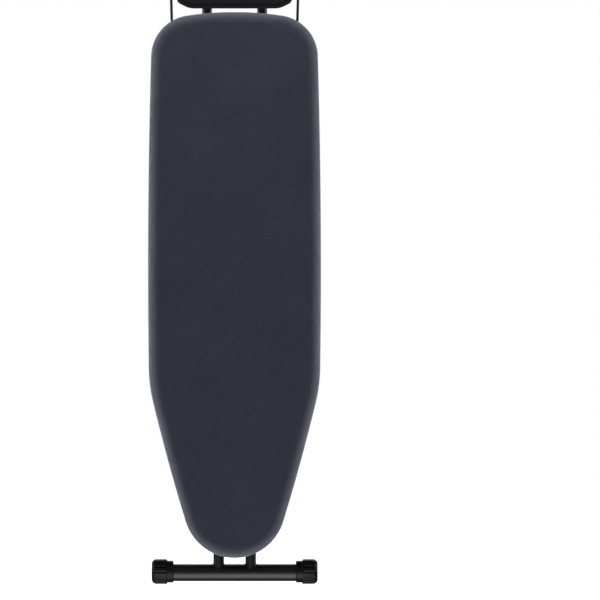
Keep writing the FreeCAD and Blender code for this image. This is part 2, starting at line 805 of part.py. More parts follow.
def levelling_cap(label, side, reach, level, rise):
    """Fluted cap, turned about X from its profile, with an eccentric bore that fits the foot tube."""
    turn = UPRIGHT if side > 0 else HALF_TURN
    body = new_body(label, at(side * reach, FOOT_DEPTH, level + rise, turn))
    radius, collar = dim.cap_diameter / 2, dim.collar_diameter / 2
    shoulder, back = -dim.cap_length, -dim.cap_length - dim.collar_length
    points = points_2d((0, 0), (0, radius), (shoulder, radius), (shoulder, collar), (back, collar), (back, 0))
    turned = body.newObject("PartDesign::Revolution", "Turned")
    turned.Profile = new_sketch(body, "XY_Plane", rounded_path(points, [0, dim.cap_rounding, 1, 0, 2, 0]))
    turned.ReferenceAxis = (turned.Profile[0], ["H_Axis"])
    turned.Angle = 360
    bore = new_sketch(body, "YZ_Plane", offset=-dim.cap_end_wall)
    add_circle(bore, 0, -rise, "foot_diameter + 2 * running_gap")
    pocket(body, bore, "cap_length + collar_length")
    angle = -math.pi / 2 + math.pi / dim.flute_count
    distance = radius + dim.flute_radius - dim.flute_cut
    flute = new_sketch(body, "YZ_Plane", offset=1)
    add_circle(flute, distance * math.cos(angle), distance * math.sin(angle), "2 * flute_radius")
    groove = pocket(body, flute, "cap_length - 2")
    flutes = body.newObject("PartDesign::PolarPattern", "Flutes")
    flutes.Originals = [groove]
    flutes.Axis = (next(item for item in body.Origin.OriginFeatures if item.Role == "X_Axis"), [""])
    flutes.Angle = 360
    flutes.Occurrences = int(dim.flute_count)
    body.Tip = flutes


# --- slide carriage and release lever ----------------------------------------------------------------------

def make_carriage():
    """Nylon shoe that runs in the rack on the crossbar, with a slot for the lever."""
    half = dim.carriage_half_width
    web_gap, lever_gap = 0.5, 4.4
    back_cover, bridge = 7.5, 10.0
    depth = (RIM_BACK + dim.rack_sheet + web_gap, dim.hinge_depth + back_cover)
    low, high = SLIDE_LEVEL - 14, SLIDE_LEVEL + 42
    slot_half = dim.lever_thickness / 2 + lever_gap
    shoe = block((-half, half), depth, (low, high))
    slot = block((-slot_half, slot_half), (depth[0] - 1, depth[1] + 1), (low - 1, high - bridge))
    bore = cross_rod(AXLE_BORE, 2 * half + 2, dim.hinge_depth, SLIDE_LEVEL)
    keep("slide_carriage", cut(shoe, slot, bore))


def make_lever():
    """Lever on the crossbar: a tooth above that locks in the rack, an arm below that carries the grip."""
    tooth_gap = 0.4
    tooth = RIM_BACK + dim.rack_sheet + tooth_gap - dim.hinge_depth
    body = new_body("release_lever", at(0, dim.hinge_depth, SLIDE_LEVEL))
    # clockwise from the tooth, over the head, down the arm's back and up its front
    points = points_2d(
        (tooth, 19), (tooth, 25), (-5, 28), (5, 28), (8, 8), (9, -12), (12, -34),
        (12, -92), (4, -92), (4, -34), (-3, -12), (-8, -7), (-8, 6), (-5, 19),
    )
    radii = [1, 1, 3, 3, 6, 10, 10, 3, 3, 10, 4, 4, 4, 2]
    pad(body, new_sketch(body, "YZ_Plane", rounded_path(points, radii)), "lever_thickness", middle=True)
    bore = new_sketch(body, "YZ_Plane")
    add_circle(bore, 0, 0, AXLE_BORE)
    body.Tip = pocket(body, bore, "lever_thickness + 2", middle=True)


def make_lever_grip():
    """Soft moulded grip over the lever's arm."""
    arm_middle = 8.0
    body = new_body("lever_grip", at(0, dim.hinge_depth + arm_middle, SLIDE_LEVEL))
    outline = points_2d((-12, -95), (12, -95), (10, -38), (-10, -38))
    pad(body, new_sketch(body, "XZ_Plane", rounded_path(outline, [8] * 4)), "14", middle=True)
    core = dim.lever_thickness / 2
    hole = rounded_rectangle(-core, core, -92, -30, 0)
    body.Tip = pocket(body, new_sketch(body, "XZ_Plane", hole), "8", middle=True)


def make_lever_spring():
    """Hairpin spring bent round the crossbar, beside the lever: it presses the tooth towards the rack."""
    wire = 1.2
    clear = 0.8
    radius = dim.axle_diameter / 2 + wire
    x = dim.lever_thickness / 2 + clear + wire / 2
    y = dim.hinge_depth - HALF_DEPTH
    back_leg, front_leg = 31.0, 20.0
    corners = ((radius, back_leg), (radius, -radius), (-radius, -radius), (-radius, front_leg))
    points = [Vector(x, y + reach, SLIDE_LEVEL + rise) for reach, rise in corners]
    bend = radius - 0.01
    path = Part.Wire([curve.toShape() for curve in rounded_path(points, [0, bend, bend, 0], closed=False)])
    circle = Part.Wire(Part.Circle(points[0], Vector(0, 0, 1), wire / 2).toShape())
    keep("lever_spring", feature(path.makePipeShell([circle], True, False)))


# --- iron rest ---------------------------------------------------------------------------------------------

def make_rest_tubes():
    length = "rest_tube_high - rest_tube_low"
    middle = dim.outer_leg_spacing / 2
    for name, side in SIDES.items():
        place = at(side * middle, dim.rest_tube_depth, dim.rest_tube_low)
        outer = cylinder("rest_tube_diameter", length, place)
        bore = cylinder("rest_tube_diameter - 2 * rest_tube_wall", length, place)
        holes = [
            cylinder("screw_hole", "8", at(side * middle, TRAY_BACK - 2, level, ALONG_Y))
            for level in TRAY_SCREW_LEVELS
        ]
        keep(f"iron_rest_tube_{name}", cut(outer, bore, *holes))
    plugs = []
    rim, spigot = 2.5, 10.0
    for side in SIDES.values():
        top = at(side * middle, dim.rest_tube_depth, dim.rest_tube_high)
        disc = cylinder("rest_tube_diameter", f"{rim}", top)
        below = at(side * middle, dim.rest_tube_depth, dim.rest_tube_high - spigot)
        stem = cylinder("rest_tube_diameter - 2 * rest_tube_wall", f"{spigot}", below)
        plugs.append(join(disc, stem))
    keep("rest_tube_plugs", group(*plugs))


def tray_outline(inset):
    """The tray's outline in its own plane, cut back and rounded at its lower corners."""
    flat, side = dim.tray_flat / 2, dim.tray_width / 2
    corners = points_2d(
        (-flat, 0), (flat, 0), (side, dim.tray_chamfer),
        (side, dim.tray_length), (-side, dim.tray_length), (-side, dim.tray_chamfer),
    )
    low, edge, high = dim.tray_low_rounding, dim.tray_side_rounding, dim.tray_high_rounding
    radii = [low, low, edge, high, high, edge]
    return rounded_path(inset_polygon(corners, inset), [max(radius - inset, 2) for radius in radii])


def make_tray():
    """Pressed steel tray: a shallow basin with a flat lip all round."""
    body = new_body("iron_rest_tray", at(0, TRAY_BACK, dim.tray_low))
    pad(body, new_sketch(body, "XZ_Plane", tray_outline(dim.tray_lip)), "tray_basin")
    lip = new_sketch(body, "XZ_Plane", tray_outline(0), offset=dim.tray_basin - dim.tray_sheet)
    pad(body, lip, "tray_sheet")
    basin = new_sketch(body, "XZ_Plane", tray_outline(dim.tray_lip + dim.tray_sheet), offset=dim.tray_basin)
    pocket(body, basin, "tray_basin - tray_sheet")
    screws = new_sketch(body, "XZ_Plane", offset=dim.tray_basin)
    for side in SIDES.values():
        for level in TRAY_SCREW_LEVELS:
            add_circle(screws, side * dim.outer_leg_spacing / 2, level - dim.tray_low, "screw_hole")
    body.Tip = pocket(body, screws, "tray_basin + 1")


def make_tray_strips():
    """Raised silicone strips that the hot iron stands on."""
    reach, rise, thickness = 75.0, 5.0, 2.5
    floor = TRAY_BACK - dim.tray_sheet
    top = floor - thickness
    strips = []
    for level in STRIP_LEVELS:
        bar = block((-reach, reach), (top, floor), (level - rise, level + rise))
        ends = [
            cylinder(f"{2 * rise}", f"{thickness}", at(side * reach, top, level, ALONG_Y))
            for side in SIDES.values()
        ]
        strips.append(join(bar, *ends))
    keep("tray_silicone_strips", group(*strips))


def make_tray_screws():
    """Screws from the tray's front into the rest tubes."""
    head_height, shank_length, socket_depth = 2.0, 10.0, 1.2
    floor = TRAY_BACK - dim.tray_sheet
    screws = []
    for side in SIDES.values():
        for level in TRAY_SCREW_LEVELS:
            x = side * dim.outer_leg_spacing / 2
            front = at(x, floor - head_height, level, ALONG_Y)
            head = cylinder("screw_head", f"{head_height}", front)
            shank = cylinder("screw_diameter", f"{shank_length}", at(x, floor, level, ALONG_Y))
            socket = cylinder("screw_socket", f"{socket_depth}", front)
            screws.append(cut(join(head, shank), socket))
    keep("tray_screws", group(*screws))


def make_guard_loop():
    """Bent wire round the tray, its ends welded to the sides of the rest tubes."""
    inner = dim.outer_leg_spacing / 2 + dim.rest_tube_diameter / 2
    low, high = dim.wire_low_width / 2, dim.wire_high_width / 2
    y = dim.rest_tube_depth - HALF_DEPTH
    corners = ((inner, dim.wire_low), (low, dim.wire_low), (high, dim.wire_high), (-high, dim.wire_high),
               (-low, dim.wire_low), (-inner, dim.wire_low))
    points = [Vector(x, y, level) for x, level in corners]
    bend, top_bend = 12.0, 50.0
    curves = rounded_path(points, [0, bend, top_bend, top_bend, bend, 0], closed=False)
    path = Part.Wire([curve.toShape() for curve in curves])
    circle = Part.Wire(Part.Circle(points[0], Vector(1, 0, 0), dim.wire_diameter / 2).toShape())
    keep("iron_guard_loop", feature(path.makePipeShell([circle], True, False)))


def make_guard_clips():
    """Moulded clips that hold the loop's closed end behind the tray."""
    middle, half, grip, tail = 70.0, 10.0, 6.0, 14.0
    tray_high = dim.tray_low + dim.tray_length
    depth = (TRAY_BACK, dim.rest_tube_depth + grip)
    clips = []
    for side in SIDES.values():
        x = side * middle
        clip = block((x - half, x + half), depth, (tray_high - tail, dim.wire_high + grip))
        wire = cross_rod("wire_diameter", 2 * half + 2, dim.rest_tube_depth, dim.wire_high, x)
        clips.append(cut(clip, wire))
    keep("guard_clips", group(*clips))


# --- build, check and write --------------------------------------------------------------------------------

make_cover()
make_pad()
make_panel()
make_rim()
make_ribs()
make_heel_saddles()
make_rack()
make_rack_screws()
make_hinge_bracket()
make_bracket_rivets()
make_hinge_axle()
make_inner_legs()
make_outer_legs()
make_foot("nose", dim.nose_foot_length, dim.foot_level, CAP_OFFSET)
make_foot("heel", dim.heel_foot_length, HEEL_FOOT_LEVEL, -CAP_OFFSET)
make_carriage()
make_lever()
make_lever_grip()
make_lever_spring()
make_rest_tubes()
make_tray()
make_tray_strips()
make_tray_screws()
make_guard_loop()
make_guard_clips()
doc.recompute()

for item in doc.Objects:
    if {"Invalid", "Error"} & set(item.State):
        raise RuntimeError(f"{item.Label} ({item.Name}) failed: {item.State}")
for node in nodes:
    if node.Shape.isNull() or not node.Shape.isValid() or node.Shape.Volume <= 0:
        raise RuntimeError(f"{node.Label} is not a valid solid")

os.makedirs("parts", exist_ok=True)
for node in nodes:
    node.Shape.exportStep(f"parts/{node.Label}.step")
print(f"{len(nodes)} sub-parts written")
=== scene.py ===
import json
import math

import bmesh
import bpy
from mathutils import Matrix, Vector, geometry, noise


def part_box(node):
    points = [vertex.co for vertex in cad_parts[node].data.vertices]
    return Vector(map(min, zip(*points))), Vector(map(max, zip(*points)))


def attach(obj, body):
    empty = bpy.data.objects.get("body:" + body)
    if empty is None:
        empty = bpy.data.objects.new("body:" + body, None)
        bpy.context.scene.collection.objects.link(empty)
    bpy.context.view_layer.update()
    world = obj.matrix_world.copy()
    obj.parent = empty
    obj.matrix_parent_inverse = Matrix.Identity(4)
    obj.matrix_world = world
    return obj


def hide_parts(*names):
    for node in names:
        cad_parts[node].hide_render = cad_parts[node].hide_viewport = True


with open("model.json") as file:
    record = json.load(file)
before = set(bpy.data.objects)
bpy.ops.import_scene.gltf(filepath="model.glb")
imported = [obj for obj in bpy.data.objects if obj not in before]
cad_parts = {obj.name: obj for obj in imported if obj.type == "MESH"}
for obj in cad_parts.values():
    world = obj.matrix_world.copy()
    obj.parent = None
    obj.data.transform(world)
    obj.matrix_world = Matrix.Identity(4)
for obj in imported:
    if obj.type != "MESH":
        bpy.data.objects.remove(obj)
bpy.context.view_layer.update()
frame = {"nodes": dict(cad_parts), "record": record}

# The board stands folded: nose and foot down, cover towards -Y, heel and iron rest up. Lengths are in metres.
MM = 0.001
NODES = frame["nodes"]
COVER_LOW, COVER_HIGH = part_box("board_cover")
PANEL_LOW, PANEL_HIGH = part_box("deck_panel")
TUBE_RIGHT_LOW, TUBE_RIGHT_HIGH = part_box("iron_rest_tube_right")


# --- node materials ----------------------------------------------------------------------------------------

class Paint:
    """A material under construction: short names for the few kinds of node that are used."""

    def __init__(self, name, **sockets):
        self.material = bpy.data.materials.new(name)
        self.material.use_nodes = True
        self.tree = self.material.node_tree
        self.shader = self.tree.nodes["Principled BSDF"]
        for socket, value in sockets.items():
            self.shader.inputs[socket.replace("_", " ")].default_value = value
        self.place = self.node("ShaderNodeTexCoord").outputs["Object"]

    def node(self, kind, inputs=(), **settings):
        made = self.tree.nodes.new(kind)
        for key, value in settings.items():
            setattr(made, key, value)
        for key, value in dict(inputs).items():
            if isinstance(value, bpy.types.NodeSocket):
                self.tree.links.new(value, made.inputs[key])
            else:
                made.inputs[key].default_value = value
        return made

    def noise(self, scale, detail=2.0, roughness=0.5, stretch=None, where=None):
        """Noise from 0 to 1; scale is in features per metre, and stretch squeezes it along each axis."""
        vector = where or self.place
        if stretch:
            vector = self.node("ShaderNodeMapping", {"Vector": vector, "Scale": stretch}).outputs[0]
        inputs = {"Vector": vector, "Scale": scale, "Detail": detail, "Roughness": roughness}
        return self.node("ShaderNodeTexNoise", inputs).outputs["Fac"]

    def math(self, operation, a, b=0.0):
        return self.node("ShaderNodeMath", {0: a, 1: b}, operation=operation).outputs[0]

    def remap(self, value, low, high, to_low, to_high):
        inputs = {0: value, 1: low, 2: high, 3: to_low, 4: to_high}
        return self.node("ShaderNodeMapRange", inputs).outputs[0]

    def mix(self, amount, a, b):
        mixer = self.node("ShaderNodeMix", data_type="RGBA")
        for index, value in ((0, amount), (6, a), (7, b)):
            if isinstance(value, bpy.types.NodeSocket):
                self.tree.links.new(value, mixer.inputs[index])
            else:
                mixer.inputs[index].default_value = value
        return mixer.outputs[2]

    def colour(self, socket):
        self.tree.links.new(socket, self.shader.inputs["Base Color"])

    def rough(self, socket):
        self.tree.links.new(socket, self.shader.inputs["Roughness"])

    def bump(self, height, distance, strength=1.0):
        """Adds a bump on top of those already there; distance is its depth in metres."""
        inputs = {"Height": height, "Distance": distance, "Strength": strength}
        normal = self.shader.inputs["Normal"]
        if normal.is_linked:
            inputs["Normal"] = normal.links[0].from_socket
        self.tree.links.new(self.node("ShaderNodeBump", inputs).outputs[0], normal)


def grey(value, blue=0.0):
    """A grey, with its blue channel raised by a share."""
    return (value, value, value * (1 + blue), 1)


def wave(paint, coordinate, pitch):
    """A ripple from -1 to 1 along one coordinate, one cycle to each pitch."""
    turns = paint.math("MULTIPLY", coordinate, 2 * math.pi / pitch)
    return paint.math("SINE", turns)


def cover_fabric():
    """Charcoal cotton twill: threads follow the cloth's own flat pattern, with slubs, painted shade darkening
    the gaps between threads, and a soft sheen.
    """
    paint = Paint("cover_fabric_woven", Roughness=0.85, Specular_IOR_Level=0.12,
                  Sheen_Weight=0.12, Sheen_Roughness=0.35)
    paint.shader.inputs["Sheen Tint"].default_value = (0.80, 0.83, 0.92, 1)
    flat = paint.node("ShaderNodeUVMap", uv_map="cut").outputs[0]
    along = paint.node("ShaderNodeSeparateXYZ", {0: flat})
    thread_pitch = 1.5 * MM
    warp = wave(paint, along.outputs[0], thread_pitch)
    weft = wave(paint, along.outputs[1], thread_pitch)
    weave = paint.math("MULTIPLY", warp, weft)
    slubs = paint.noise(1, 3, 0.6, stretch=(60, 900, 1), where=flat)
    threads = paint.noise(1, 3, 0.6, stretch=(900, 60, 1), where=flat)
    clouds = paint.noise(7, 3, 0.55, where=flat)
    tone = paint.math("ADD", paint.math("MULTIPLY", slubs, 0.5), paint.math("MULTIPLY", threads, 0.5))
    charcoal, pale = (0.0225, 0.0253, 0.0400, 1), (0.0440, 0.0488, 0.0720, 1)
    # the darker of these two colours is painted shade for the gaps between the threads; the lighter is rubbed
    # cloth
    thread_gap_shade, rubbed = (0.011, 0.012, 0.020, 1), (0.040, 0.044, 0.064, 1)
    base = paint.mix(paint.remap(tone, 0.3, 0.7, 0, 1), charcoal, pale)
    # painted shade: the weave's checker darkens the colour in the gaps between the threads
    base = paint.mix(paint.remap(weave, -1, 1, 0, 0.6), base, thread_gap_shade)
    paint.colour(paint.mix(paint.remap(clouds, 0.35, 0.75, 0, 0.3), base, rubbed))
    paint.rough(paint.remap(tone, 0.3, 0.7, 0.78, 0.9))
    paint.bump(weave, 0.16 * MM, 0.8)
    paint.bump(tone, 0.25 * MM, 0.7)
    return paint.material


def felt():
    """Off-white needled felt: matted fibres and small tufts."""
    paint = Paint("needled_felt", Roughness=0.95, Sheen_Weight=0.3, Sheen_Roughness=0.6)
    fibres = paint.noise(900, 6, 0.75)
    tufts = paint.noise(120, 4, 0.6)
    clouds = paint.noise(14, 2)
    speckle = paint.remap(paint.noise(420, 1, 0.5), 0.66, 0.72, 0, 0.5)
    dull, light, shaded = (0.42, 0.41, 0.38, 1), (0.60, 0.59, 0.55, 1), (0.36, 0.35, 0.33, 1)
    dark_fibre = (0.14, 0.15, 0.18, 1)
    base = paint.mix(paint.remap(tufts, 0.3, 0.7, 0, 1), dull, light)
    base = paint.mix(paint.remap(clouds, 0.4, 0.7, 0, 0.35), base, shaded)
    paint.colour(paint.mix(speckle, base, dark_fibre))
    paint.bump(tufts, 1.2 * MM, 0.7)
    paint.bump(fibres, 0.4 * MM, 0.8)
    return paint.material


def powder_coat(name, base, roughness, peel, specular=0.3, dust=0.25):
    """Baked powder paint: fine orange peel, faint handling marks and a little dust. peel is its depth."""
    paint = Paint(name, Roughness=roughness, Specular_IOR_Level=specular)
    fine = paint.noise(1400, 2, 0.5)
    broad = paint.noise(18, 4, 0.6)
    scuffs = paint.noise(60, 6, 0.7, stretch=(1, 1, 6))
    worn = tuple(min(1.0, channel * 1.5 + 0.006) for channel in base[:3]) + (1,)
    toned = paint.mix(paint.remap(broad, 0.35, 0.7, 0, dust), base, worn)
    paint.colour(paint.mix(paint.remap(scuffs, 0.62, 0.75, 0, dust), toned, worn))
    paint.rough(paint.remap(scuffs, 0.45, 0.75, roughness, roughness + 0.14))
    paint.bump(fine, peel, 0.6)
    return paint.material


def moulded_plastic(name, base, roughness, grain=0.06 * MM):
    """Moulded plastic: spark-eroded grain, slightly uneven gloss and pale rubbed patches."""
    paint = Paint(name, Roughness=roughness, Specular_IOR_Level=0.15)
    texture = paint.noise(2600, 2, 0.6)
    flow = paint.noise(25, 3, 0.5, stretch=(2, 1, 1))
    rubbed = paint.remap(paint.noise(85, 5, 0.7), 0.58, 0.78, 0, 0.35)
    worn = tuple(min(1.0, channel * 2.2 + 0.01) for channel in base[:3]) + (1,)
    paint.colour(paint.mix(rubbed, base, worn))
    paint.rough(paint.remap(flow, 0.3, 0.7, roughness - 0.06, roughness + 0.08))
    paint.bump(texture, grain, 0.5)
    return paint.material


def zinc_plate():
    """Bright zinc-plated steel with turning marks and a faint blue-yellow passivation."""
    paint = Paint("zinc_plated_steel", Metallic=1.0, Roughness=0.32)
    tint = paint.noise(90, 3, 0.6)
    turned = paint.noise(1, 2, 0.5, stretch=(4500, 60, 60))
    bluish, yellowish = (0.52, 0.54, 0.57, 1), (0.58, 0.56, 0.50, 1)
    paint.colour(paint.mix(paint.remap(tint, 0.4, 0.65, 0, 1), bluish, yellowish))
    paint.rough(paint.remap(tint, 0.3, 0.7, 0.26, 0.42))
    paint.bump(turned, 0.02 * MM, 0.5)
    return paint.material


def soft_rubber(name, base, roughness=0.75):
    """Silicone or soft grip: dull, with a fine grain and settled dust."""
    paint = Paint(name, Roughness=roughness)
    grain = paint.noise(1900, 3, 0.6)
    dust = paint.remap(paint.noise(40, 5, 0.65), 0.5, 0.8, 0, 0.4)
    pale = tuple(min(1.0, channel * 1.8 + 0.02) for channel in base[:3]) + (1,)
    paint.colour(paint.mix(dust, base, pale))
    paint.bump(grain, 0.08 * MM, 0.6)
    return paint.material


MATERIALS = {
    "cover_fabric": cover_fabric(),
    "pad_felt": felt(),
    "deck_steel": powder_coat("deck_powder_coat", grey(0.014, 0.1), 0.36, 0.05 * MM),
    "rack_steel": powder_coat("rack_powder_coat", grey(0.012, 0.1), 0.34, 0.05 * MM),
    "zinc_steel": zinc_plate(),
    "leg_black": powder_coat("leg_gloss_coat", grey(0.0030, 0.3), 0.38, 0.02 * MM, specular=0.42, dust=0.10),
    "cap_plastic": moulded_plastic("cap_moulded_plastic", grey(0.0045, 0.2), 0.42),
    "plug_plastic": moulded_plastic("plug_moulded_plastic", grey(0.012), 0.5),
    "grip_rubber": soft_rubber("grip_soft_rubber", grey(0.014)),
    "tray_black": powder_coat("tray_matte_coat", grey(0.0080, 0.3), 0.5, 0.07 * MM, specular=0.18, dust=0.15),
    "silicone": soft_rubber("strip_silicone", grey(0.045, 0.1), 0.6),
    "wire_black": powder_coat("wire_satin_coat", grey(0.010), 0.36, 0.04 * MM),
}
THREAD = soft_rubber("hem_thread", (0.010, 0.011, 0.016, 1), 0.8)


def dress_cad_nodes():
    """Give every CAD node its slot's finish."""
    for entry in frame["record"]["subparts"]:
        node = NODES[entry["node"]]
        node.data.materials.clear()
        node.data.materials.append(MATERIALS[entry["material_slot"]])


def add_piece(name, mesh, body, slot, replaces=()):
    """Put a smooth-shaded mesh on a body with its slot's finish, in place of any CAD nodes that are named."""
    piece = bpy.data.objects.new(name, mesh)
    bpy.context.scene.collection.objects.link(piece)
    mesh.materials.append(MATERIALS[slot])
    for polygon in mesh.polygons:
        polygon.use_smooth = True
    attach(piece, body)
    if replaces:
        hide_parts(*replaces)
    return piece


# --- outline of the board, from the frame ------------------------------------------------------------------

def smooth_through(knots, steps=24):
    """A Hermite curve through all the knots but the first and last, which only lead it in and out."""
    curve = []
    for before, a, b, after in zip(knots, knots[1:], knots[2:], knots[3:]):
        span = (b - a).length
        start = ((b - before) / max((b - a).length + (a - before).length, MM)) * span
        finish = ((after - a) / max((after - b).length + (b - a).length, MM)) * span
        for i in range(steps):
            t = i / steps
            curve.append(
                a * (2 * t**3 - 3 * t**2 + 1) + start * (t**3 - 2 * t**2 + t)
                + b * (3 * t**2 - 2 * t**3) + finish * (t**3 - t**2)
            )
    curve.append(knots[-2])
    return curve


def right_edge(count):
    """Evenly spaced points (x, z) and inward normals up the board's right side, from the nose to the heel."""
    flat = [Vector((v.co.x, v.co.z)) for v in NODES["board_cover"].data.vertices]
    hull = [flat[i] for i in geometry.convex_hull_2d(flat)]
    side = sorted((p for p in hull if p.x > MM), key=lambda p: p.y)
    ends = [Vector((0, min(p.y for p in hull))), Vector((0, max(p.y for p in hull)))]
    mirrored = [Vector((-side[0].x, side[0].y)), Vector((-side[-1].x, side[-1].y))]
    fine = smooth_through([mirrored[0], ends[0], *side, ends[1], mirrored[1]])
    lengths = [0.0]
    for a, b in zip(fine, fine[1:]):
        lengths.append(lengths[-1] + (b - a).length)
    points, at = [], 0
    for i in range(count):
        target = lengths[-1] * i / (count - 1)
        while at < len(fine) - 2 and lengths[at + 1] < target:
            at += 1
        share = (target - lengths[at]) / max(lengths[at + 1] - lengths[at], 1e-9)
        points.append(fine[at].lerp(fine[at + 1], min(max(share, 0), 1)))
    normals = []
    for i, point in enumerate(points):
        ahead = points[min(i + 1, count - 1)] - points[max(i - 1, 0)]
        normals.append(Vector((-ahead.y, ahead.x)).normalized())
    normals[0], normals[-1] = Vector((0, 1)), Vector((0, -1))
    return points, normals, lengths[-1]


EDGE_COUNT = 520
RING_COUNT = 2 * EDGE_COUNT - 2
EDGE, EDGE_IN, EDGE_LENGTH = right_edge(EDGE_COUNT)


def ring(inset, count_step=1):
    """The closed outline moved inwards: points (x, z) from the nose up the right side and down the left."""
    right = [p + n * inset for p, n in zip(EDGE, EDGE_IN)]
    left = [Vector((-p.x, p.y)) for p in right[-2:0:-1]]
    return (right + left)[::count_step]


def ring_at(i, inset):
    """One point of ring(inset)."""
    k = i if i < EDGE_COUNT else RING_COUNT - i
    p = EDGE[k] + EDGE_IN[k] * inset
    return p if i < EDGE_COUNT else Vector((-p.x, p.y))


def bending(index):
    """How sharply the outline bends at a ring's point, from 0 on the flanks to 1 at the corners and nose."""
    i = index if index < EDGE_COUNT else RING_COUNT - index
    spread, sharpest_radius = 12, 100 * MM
    low, high = max(i - spread, 0), min(i + spread, EDGE_COUNT - 1)
    turn = math.acos(max(-1.0, min(1.0, EDGE_IN[low].dot(EDGE_IN[high]))))
    bend = turn / ((high - low) * EDGE_LENGTH / (EDGE_COUNT - 1))
    return min(bend * sharpest_radius, 1.0)


# --- cover, pad and panel ----------------------------------------------------------------------------------

FRONT = COVER_LOW.y
BACK = COVER_HIGH.y
THICKNESS = BACK - FRONT
HEM_WIDTH = 34 * MM
BACK_ROUND = 6 * MM
# the crown is the stretch near the rim over which the cushioned front falls back by the drop
CROWN_REACH = 36 * MM
CROWN_START = 3 * MM
CROWN_DROP = 7.05 * MM
CROWN_POWER = 4.7
CLOTH = 0.8 * MM


def crown_depth(inset):
    """How far the cushioned front has fallen back at a distance from the edge."""
    share = max(CROWN_REACH - inset, 0) / (CROWN_REACH - CROWN_START)
    return CROWN_DROP * share**CROWN_POWER


def cover_profile():
    """The cover's section from the hem's inner edge, round the rim, to the flat front: (inset, depth)."""
    hem_steps, round_steps, crown_steps = 10, 6, 12
    section = []
    for i in range(hem_steps):
        share = i / hem_steps
        section.append((HEM_WIDTH + (BACK_ROUND - HEM_WIDTH) * share, THICKNESS))
    for i in range(round_steps + 1):
        angle = math.pi / 2 * i / round_steps
        section.append((BACK_ROUND * (1 - math.sin(angle)), THICKNESS - BACK_ROUND * (1 - math.cos(angle))))
    slope = math.atan(CROWN_DROP * CROWN_POWER / (CROWN_REACH - CROWN_START))
    edge_round = CROWN_START / (1 - math.sin(slope))
    round_top = CROWN_DROP + edge_round * math.cos(slope)
    section.append((0.0, (THICKNESS - BACK_ROUND + round_top) / 2))
    for i in range(round_steps):
        angle = (math.pi / 2 - slope) * i / round_steps
        section.append((edge_round * (1 - math.cos(angle)), round_top - edge_round * math.sin(angle)))
    for i in range(crown_steps + 1):
        share = (i / crown_steps) ** 1.3
        inset = CROWN_START + (CROWN_REACH - CROWN_START) * share
        section.append((inset, crown_depth(inset)))
    return section


def spine_point(point):
    """Where the rows close up: the long axis, kept clear of both ends."""
    nose_clear, heel_clear = 118 * MM, 100 * MM
    return Vector((0, min(max(point.y, COVER_LOW.z + nose_clear), COVER_HIGH.z - heel_clear)))


def towards_spine(inner, share):
    """A ring's points, each moved towards the long axis by a share of its way."""
    return [p.lerp(spine_point(p), share) for p in inner]


def clear_of_rest_tubes(x, z):
    """0 where the iron rest's tubes pass close behind the hem, 1 away from them."""
    below, keep_off, blend = 20 * MM, 14 * MM, 14 * MM
    if z < TUBE_RIGHT_LOW.z - below:
        return 1.0
    near = abs(abs(x) - (TUBE_RIGHT_LOW.x + TUBE_RIGHT_HIGH.x) / 2)
    return min(max((near - keep_off) / blend, 0.0), 1.0)


def pleat(index, inset, point):
    """Height in metres of the drawn-in hem's gathers: low on the flanks, high in the bends."""
    if inset < BACK_ROUND:
        return 0.0
    share = (inset - BACK_ROUND) / (HEM_WIDTH - BACK_ROUND)
    phase = index / RING_COUNT * 2 * math.pi
    wobble = noise.noise(Vector((math.cos(phase) * 9, math.sin(phase) * 9, 4.2)))
    uneven = 0.6 + 0.6 * noise.noise(Vector((math.cos(phase) * 23, math.sin(phase) * 23, 1.7)))
    fold = abs(math.sin(index * 0.42 + wobble * 11))
    height = (0.9 + 4.2 * bending(index)) * MM
    return height * share**1.3 * fold * max(uneven, 0.15) * clear_of_rest_tubes(point.x, point.y)


def soft_swell(x, z):
    """Slight unevenness of the pad under the cloth, in metres."""
    broad = noise.noise(Vector((x * 7, z * 5, 0.3)))
    small = noise.noise(Vector((x * 26, z * 18, 7.9)))
    return (0.3 + 0.3 * broad + 0.1 * small) * MM


def grid_mesh(name, rows, cuts=None):
    """A skin through rows of points that each run once round the board; cuts are the flat cloth's places."""
    mesh = bmesh.new()
    made = [[mesh.verts.new(p) for p in row] for row in rows]
    layer = mesh.loops.layers.uv.new("cut") if cuts else None
    total = len(rows[0])
    for k in range(len(rows) - 1):
        for i in range(total):
            j = (i + 1) % total
            face = mesh.faces.new((made[k][i], made[k + 1][i], made[k + 1][j], made[k][j]))
            if cuts:
                for loop, place in zip(face.loops, (cuts[k][i], cuts[k + 1][i], cuts[k + 1][j], cuts[k][j])):
                    loop[layer].uv = place
    same_place = 0.02 * MM
    bmesh.ops.remove_doubles(mesh, verts=mesh.verts, dist=same_place)
    bmesh.ops.dissolve_degenerate(mesh, edges=mesh.edges, dist=same_place)
    bmesh.ops.recalc_face_normals(mesh, faces=mesh.faces)
    data = bpy.data.meshes.new(name)
    mesh.to_mesh(data)
    mesh.free()
    return data


